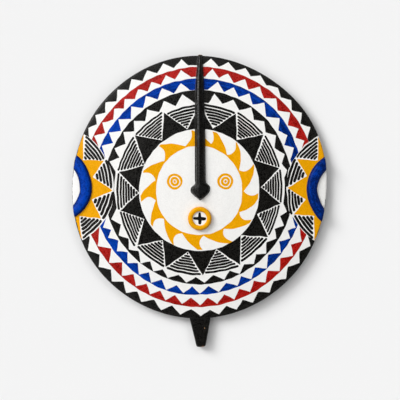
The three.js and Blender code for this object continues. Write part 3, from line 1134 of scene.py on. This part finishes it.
def point_masks(carving, points, face_count, first_back, rim):
    """How strongly each hand mark, and the painted shade in the bows' creases, shows at each point."""
    x, y = points[:, 0], points[:, 1]
    number = np.arange(len(points))
    on_face, on_back = number < face_count, number >= first_back
    share = length(points) / edge_radius(points)
    lip = 1 - (carving.back_band + carving.hollow_slope) / BOARD_RADIUS
    across = carving.nose(x, y)[1]
    off_nose = np.clip(np.maximum(-across, across - 1) * 3, 0, 1)
    fade = 0.03
    rippled = on_face * smooth((0.985 - share) / fade) * (0.25 + 0.75 * off_nose)
    hollowed = on_back * smooth((lip - share) / fade)
    spilled = np.where(on_back, smooth((share - 0.9) / 0.1), np.where(on_face, 0.0, 1.0))
    rubbed = np.zeros(len(points))
    near = np.flatnonzero(on_face & (share > 0.96))
    rubbed[near] = smooth(1 - distance_to_loop(points[near, :2], rim) / RUB_WIDE)
    rubbed = np.where(on_face | on_back, rubbed, RUB_SIDE)
    # Painted shade: the paint is darkened along both feet of each raised bow, where shade falls in the
    # creases
    creased = np.zeros(len(points))
    for sun in SIDE_SUNS:
        clock, away = clock_of(points[:, :2], sun["middle"])
        for side in ("foot", "crown"):
            gap = np.abs(away - around(sun[side], clock))
            creased = np.maximum(creased, smooth(CREASE_SHADE_WIDE - gap / CREASE_SHADE_FADE) * on_face)
    return {
        "rippled": rippled, "hollowed": hollowed, "spilled": spilled, "rubbed": rubbed, "creased": creased,
    }


def brush_way(points):
    """Distance from and direction about the middle that the brush went round at each point."""
    middle = np.zeros((len(points), 2))
    for sun in SIDE_SUNS:
        near = length(points[:, :2] - sun["middle"]) < SUN_REACH
        middle[near] = sun["middle"]
    away = points[:, :2] - middle
    long = np.maximum(length(away), 1e-6)
    return np.column_stack((long * MM, away / long[:, None]))


def bake_map(mesh, points, corners, face_count, wall_count, rim_count):
    """The map that the colours are baked to: face large, back small, side as a strip."""
    place = points[corners]
    spot = np.zeros((len(corners), 2))
    face_end = 3 * face_count
    wall_end = face_end + 4 * wall_count
    spot[:face_end] = BAKE_MARGIN + (place[:face_end, :2] + BAKE_CORNER) / BAKE_FACE
    across = BAKE_BACK_LEFT + (BAKE_CORNER[0] - place[wall_end:, 0]) / BAKE_BACK
    up = BAKE_MARGIN + (place[wall_end:, 1] + BAKE_CORNER[1]) / BAKE_BACK
    spot[wall_end:] = np.column_stack((across, up))
    column = np.tile(np.arange(rim_count), wall_count // rim_count)
    columns = beside(column, column, column + 1, column + 1).ravel()
    across = BAKE_MARGIN + (1 - 2 * BAKE_MARGIN) * columns / rim_count
    up = BAKE_SIDE_FOOT + place[face_end:wall_end, 2] / BAKE_SIDE
    spot[face_end:wall_end] = np.column_stack((across, up))
    mesh.uv_layers.new(name="OFBake").data.foreach_set("uv", spot.ravel())


class Link:
    """A socket of a node tree, with sums written as Python."""

    def __init__(self, tree, socket=None):
        self.tree = tree
        self.socket = socket

    def node(self, kind, inputs=None, out=0, **settings):
        """A new node of any kind, with its settings made before its sockets are filled or linked."""
        made = self.tree.nodes.new(kind)
        for name, value in settings.items():
            setattr(made, name, value)
        for name, value in (inputs or {}).items():
            if isinstance(value, Link):
                self.tree.links.new(value.socket, made.inputs[name])
            else:
                made.inputs[name].default_value = value
        return Link(self.tree, made.outputs[out])

    def sum_with(self, operation, first, second):
        return self.node("ShaderNodeMath", {0: first, 1: second}, operation=operation)

    def __add__(self, other):
        return self.sum_with("ADD", self, other)

    def __sub__(self, other):
        return self.sum_with("SUBTRACT", self, other)

    def __rsub__(self, other):
        return self.sum_with("SUBTRACT", other, self)

    def __mul__(self, other):
        return self.sum_with("MULTIPLY", self, other)

    def __truediv__(self, other):
        return self.sum_with("DIVIDE", self, other)

    def __rtruediv__(self, other):
        return self.sum_with("DIVIDE", other, self)

    def clamp(self):
        return self.node("ShaderNodeClamp", {0: self})

    def between(self, low, high):
        """0 below low, 1 above high and smooth between them."""
        return self.node("ShaderNodeMapRange", {0: self, 1: low, 2: high}, interpolation_type="SMOOTHSTEP")


def mix_colour(start, share, first, second):
    """Two colours mixed by a share."""
    return start.node("ShaderNodeMix", {0: share, 6: first, 7: second}, 2, data_type="RGBA")


def shade(colour, factor):
    """A colour made lighter or darker by a number."""
    return tuple(min(1.0, part * factor) for part in colour[:3]) + (1.0,)


def mark(start, name, out="Fac"):
    """A hand mark that is stored on the mesh."""
    return start.node("ShaderNodeAttribute", out=out, attribute_name=name)


def noise(start, place, scale, detail=3.0, rough=0.55):
    inputs = {"Vector": place, "Scale": scale, "Detail": detail, "Roughness": rough}
    return start.node("ShaderNodeTexNoise", inputs)


def stretched(start, place, scale):
    return start.node("ShaderNodeMapping", {"Vector": place, "Scale": scale})


def wood_colour(start, place, paints):
    """Straight grain along the mask, with darker lines and pores."""
    bent = noise(start, place, BENDS, 2.0)
    grain = noise(start, stretched(start, place, GRAIN), 1.0, 4.0, 0.6)
    lines = noise(start, stretched(start, place, PORES), 1.0, 2.0, 0.6)
    tone = (grain * 0.75 + bent * 0.35 - 0.05).between(0.25, 0.75)
    colour = mix_colour(start, tone, shade(paints.wood_dark, 1.25), shade(paints.wood, 1.0))
    pores = lines.between(0.6, 0.72) * 0.55
    return mix_colour(start, pores, colour, shade(paints.wood_dark, 0.7)), grain, lines


def finish_of(name):
    """An empty material, its shader and a place to start its nodes from."""
    material = bpy.data.materials.new(name)
    material.use_nodes = True
    tree = material.node_tree
    shader = next(node for node in tree.nodes if node.type == "BSDF_PRINCIPLED")
    return material, shader, Link(tree)


def join(shader, start, **sockets):
    """Links worked-out values to the shader's sockets."""
    for name, value in sockets.items():
        start.tree.links.new(value.socket, shader.inputs[name.replace("_", " ")])


def paint_finish(name, paints, spread, mottle, streak, sheen, crease_shade_strength, fade):
    """Paint brushed by hand over wood, with brush marks, a slow change of tone, painted shade in the bows'
    creases, lightening towards the left and wear on the rim.
    """
    material, shader, start = finish_of(name + "_paint")
    colour = getattr(paints, name)
    place = start.node("ShaderNodeTexCoord", out="Object")
    brush = mark(start, "brush", "Vector")
    rubbed = mark(start, "rubbed")
    marks = noise(start, stretched(start, brush, FINE_MARKS), 1.0, 4.0, 0.65)
    broad = noise(start, stretched(start, brush, BROAD_MARKS), 1.0, 2.0)
    clouds = noise(start, place, CLOUDS, 3.0)
    patches = noise(start, place, PATCHES, 2.0)
    grit = noise(start, place, GRIT, 1.0)
    wood, grain, _ = wood_colour(start, place, paints)
    tone = (clouds + patches * 0.4 + grit * 2.2 - 1.8) * mottle + (marks * 2 + broad * 0.6 - 1.3) * streak
    # The paint grows lighter towards the left and darker towards the right, in step with x
    if fade:
        parts = start.node("ShaderNodeSeparateXYZ", {0: place})
        tone = tone - parts * fade
    light = mix_colour(start, (tone + 0.5).clamp(), shade(colour, 1 - spread), shade(colour, 1 + spread))
    ragged = noise(start, place, RAGS, 4.0, 0.7)
    worn = (ragged + rubbed * 0.3).between(*WORN)
    # Painted shade: in the bows' creases the paint is mixed towards a dark copy of itself
    creased = mark(start, "creased")
    light = mix_colour(start, creased * crease_shade_strength, light, shade(colour, 0.4))
    join(shader, start, Base_Color=mix_colour(start, worn, light, wood))
    matt = (marks - 0.5) * 0.6 + (patches - 0.5) * 0.2 + (grit - 0.5) * 1.2 + paints.gloss
    join(shader, start, Roughness=matt)
    height = marks * 0.5 + broad * 0.7 + patches * 0.3 + grit * 0.35 + grain * 0.2 - worn * 0.4
    bump = start.node("ShaderNodeBump", {"Height": height, "Strength": 1.0, "Distance": paints.brush_depth})
    join(shader, start, Normal=bump)
    shader.inputs["Specular IOR Level"].default_value = sheen
    return material


def wood_finish(name, paints):
    """Bare carved wood, with black paint spilled over the edge of the back."""
    material, shader, start = finish_of(name)
    place = start.node("ShaderNodeTexCoord", out="Object")
    spilled = mark(start, "spilled")
    wood, grain, lines = wood_colour(start, place, paints)
    ragged = noise(start, place, 60.0, 5.0, 0.65)
    over = (spilled + (ragged - 0.5) * 0.9).between(*SPILT)
    hollowed = mark(start, "hollowed")
    over = over * (1 - hollowed)
    join(shader, start, Base_Color=mix_colour(start, over, wood, shade(paints.black, 1.6)))
    join(shader, start, Roughness=0.72 - over * 0.2 + (grain - 0.5) * 0.12)
    bump = start.node("ShaderNodeBump", {"Height": grain + lines * 0.5, "Strength": 1.0, "Distance": 0.00022})
    join(shader, start, Normal=bump)
    return material


def hand_cut_tree(wood):
    """A node tree that gives the face a slight ripple and the hollow its gouge cuts."""
    tree = bpy.data.node_groups.new("Hand-cut surface", "GeometryNodeTree")
    tree.is_modifier = True
    tree.interface.new_socket("Geometry", in_out="INPUT", socket_type="NodeSocketGeometry")
    names = ("Ripple depth", "Ripple size", "Gouge depth", "Gouge width", "Gouge length", "Seed")
    for name in names:
        tree.interface.new_socket(name, in_out="INPUT", socket_type="NodeSocketFloat")
    tree.interface.new_socket("Geometry", in_out="OUTPUT", socket_type="NodeSocketGeometry")
    start = Link(tree)
    given = tree.nodes.new("NodeGroupInput")
    size = {name: Link(tree, given.outputs[name]) for name in names}
    place = start.node("GeometryNodeInputPosition")
    rippled = start.node("GeometryNodeInputNamedAttribute", {"Name": "rippled"}, data_type="FLOAT")
    hollowed = start.node("GeometryNodeInputNamedAttribute", {"Name": "hollowed"}, data_type="FLOAT")
    wave = start.node(
        "ShaderNodeTexNoise",
        {"Vector": place, "W": size["Seed"] * 3.7, "Scale": 1 / size["Ripple size"], "Detail": 1.0},
        noise_dimensions="4D",
    )
    parts = start.node("ShaderNodeSeparateXYZ", {0: place})
    sideways = Link(tree, parts.socket.node.outputs[0])
    lengthways = Link(tree, parts.socket.node.outputs[1])
    sway = (wave - 0.5) * 0.9
    cell = start.node(
        "ShaderNodeCombineXYZ",
        {0: sideways / size["Gouge width"] + sway + size["Seed"],
         1: lengthways / size["Gouge length"] + size["Seed"]},
    )
    away = start.node(
        "ShaderNodeTexVoronoi",
        {"Vector": cell, "Scale": 1.0, "Randomness": 0.85},
        "Distance", voronoi_dimensions="2D",
    )
    scoop = 1 - away * away * 1.7
    lift = (wave - 0.5) * 2 * size["Ripple depth"] * rippled + scoop.clamp() * size["Gouge depth"] * hollowed
    offset = start.node("ShaderNodeCombineXYZ", {2: lift})
    moved = start.node(
        "GeometryNodeSetPosition", {"Geometry": Link(tree, given.outputs["Geometry"]), "Offset": offset})
    whole = start.node("GeometryNodeRealizeInstances", {"Geometry": moved})
    bare = start.node("GeometryNodeInputNamedAttribute", {"Name": "bare"}, data_type="BOOLEAN")
    dressed = start.node("GeometryNodeSetMaterial", {"Geometry": whole, "Selection": bare, "Material": wood})
    given_back = tree.nodes.new("NodeGroupOutput")
    tree.links.new(dressed.socket, given_back.inputs["Geometry"])
    return tree


def cut_by_hand(piece, sizes, wood):
    """The piece's mesh with the hand-cut surface worked into it."""
    tree = hand_cut_tree(wood)
    modifier = piece.modifiers.new("Hand-cut surface", "NODES")
    modifier.node_group = tree
    values = {
        "Ripple depth": sizes.ripple_depth,
        "Ripple size": sizes.ripple_size,
        "Gouge depth": sizes.gouge_depth,
        "Gouge width": sizes.gouge_wide,
        "Gouge length": sizes.gouge_long,
        "Seed": float(sizes.seed),
    }
    for item in tree.interface.items_tree:
        if item.in_out == "INPUT" and item.name in values:
            modifier[item.identifier] = values[item.name]
    worked = piece.evaluated_get(bpy.context.evaluated_depsgraph_get())
    mesh = bpy.data.meshes.new_from_object(worked)
    piece.modifiers.remove(modifier)
    piece.data = mesh


def placed(context, name, data):
    """A new object in the scene."""
    item = bpy.data.objects.new(name, data)
    context.scene.collection.objects.link(item)
    return item


class CarveMask(bpy.types.Operator):
    """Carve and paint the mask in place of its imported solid"""

    bl_idname = "sun_mask.carve"
    bl_label = "Carve and Paint Mask"

    def execute(self, context):
        sizes, paints = context.scene.sun_mask_sizes, context.scene.sun_mask_paints
        mesh = mask_mesh(sizes)
        wood = wood_finish("bare_wood", paints)
        for name, *look in PAINT_LOOKS:
            mesh.materials.append(paint_finish(name, paints, *look))
        mesh.materials.append(wood)
        piece = placed(context, "painted_mask", mesh)
        cut_by_hand(piece, sizes, wood)
        piece.data.shade_smooth()
        piece.data.set_sharp_from_angle(angle=math.radians(40))
        piece.data.name = "painted_mask"
        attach(piece, "root")
        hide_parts("sun_mask")
        return {"FINISHED"}


class SetStage(bpy.types.Operator):
    """Lay the pale floor, light it softly and hang the camera over the mask"""

    bl_idname = "sun_mask.stage"
    bl_label = "Set Floor, Light and Camera"

    def execute(self, context):
        stage = context.scene.sun_mask_stage
        half = stage.floor_size / 2
        mesh = bpy.data.meshes.new("floor")
        corners = [(-half, -half, 0), (half, -half, 0), (half, half, 0), (-half, half, 0)]
        mesh.from_pydata(corners, [], [(0, 1, 2, 3)])
        material, shader, _ = finish_of("pale_floor")
        shader.inputs["Base Color"].default_value = shade(stage.floor_colour, 1.0)
        shader.inputs["Roughness"].default_value = 0.9
        shader.inputs["Specular IOR Level"].default_value = 0.2
        mesh.materials.append(material)
        floor = placed(context, "floor", mesh)
        floor.location.z = -FLOOR_DROP

        lamp = bpy.data.lights.new("window", "SUN")
        lamp.energy = stage.light_power
        lamp.angle = stage.light_spread
        light = placed(context, "window", lamp)
        towards = Vector((
            math.cos(stage.light_turn) * math.cos(stage.light_rise),
            math.sin(stage.light_turn) * math.cos(stage.light_rise),
            math.sin(stage.light_rise),
        ))
        light.rotation_euler = towards.to_track_quat("Z", "Y").to_euler()

        world = bpy.data.worlds.new("room")
        world.use_nodes = True
        tree = world.node_tree
        start = Link(tree)
        sky = start.node("ShaderNodeTexCoord", out="Generated")
        parts = start.node("ShaderNodeSeparateXYZ", {0: sky}).socket.node.outputs
        sideways, lengthways, rise = (Link(tree, part) for part in parts)
        nearer = sideways * math.cos(stage.light_turn) + lengthways * math.sin(stage.light_turn)
        strength = rise.between(*OVERHEAD_FROM) * (stage.overhead - stage.low) + stage.low
        strength = strength * (1 - (rise - nearer * CEILING_LEAN).between(*CEILING_FROM) * stage.hole)
        strength = strength * (nearer * stage.lean + 1)
        ground = next(node for node in tree.nodes if node.type == "BACKGROUND")
        ground.inputs["Color"].default_value = (1, 1, 1, 1)
        tree.links.new(strength.socket, ground.inputs["Strength"])
        context.scene.world = world

        camera_data = bpy.data.cameras.new("camera")
        camera_data.sensor_width = 36
        camera_data.lens = stage.camera_lens
        camera = placed(context, "camera", camera_data)
        camera.location = (*stage.camera_place, stage.camera_high)
        context.scene.camera = camera
        context.scene.view_settings.view_transform = "Standard"
        return {"FINISHED"}


class SunMaskPanel(bpy.types.Panel):
    """The sizes, the paints and the steps of the mask"""

    bl_idname = "VIEW3D_PT_sun_mask"
    bl_label = "Sun Mask"
    bl_space_type = "VIEW_3D"
    bl_region_type = "UI"
    bl_category = "Sun Mask"

    def draw(self, context):
        for operator, group in (
            (CarveMask, context.scene.sun_mask_sizes),
            (CarveMask, context.scene.sun_mask_paints),
            (SetStage, context.scene.sun_mask_stage),
        ):
            box = self.layout.box()
            for name in type(group).__annotations__:
                box.prop(group, name)
            box.operator(operator.bl_idname)


CLASSES = (MaskSizes, MaskPaints, StageSettings, CarveMask, SetStage, SunMaskPanel)


def register():
    for item in CLASSES:
        bpy.utils.register_class(item)
    bpy.types.Scene.sun_mask_sizes = PointerProperty(type=MaskSizes)
    bpy.types.Scene.sun_mask_paints = PointerProperty(type=MaskPaints)
    bpy.types.Scene.sun_mask_stage = PointerProperty(type=StageSettings)


def unregister():
    del bpy.types.Scene.sun_mask_stage
    del bpy.types.Scene.sun_mask_paints
    del bpy.types.Scene.sun_mask_sizes
    for item in reversed(CLASSES):
        bpy.utils.unregister_class(item)


def main():
    register()
    bpy.ops.sun_mask.carve()
    bpy.ops.sun_mask.stage()


if __name__ == "__main__":
    main()
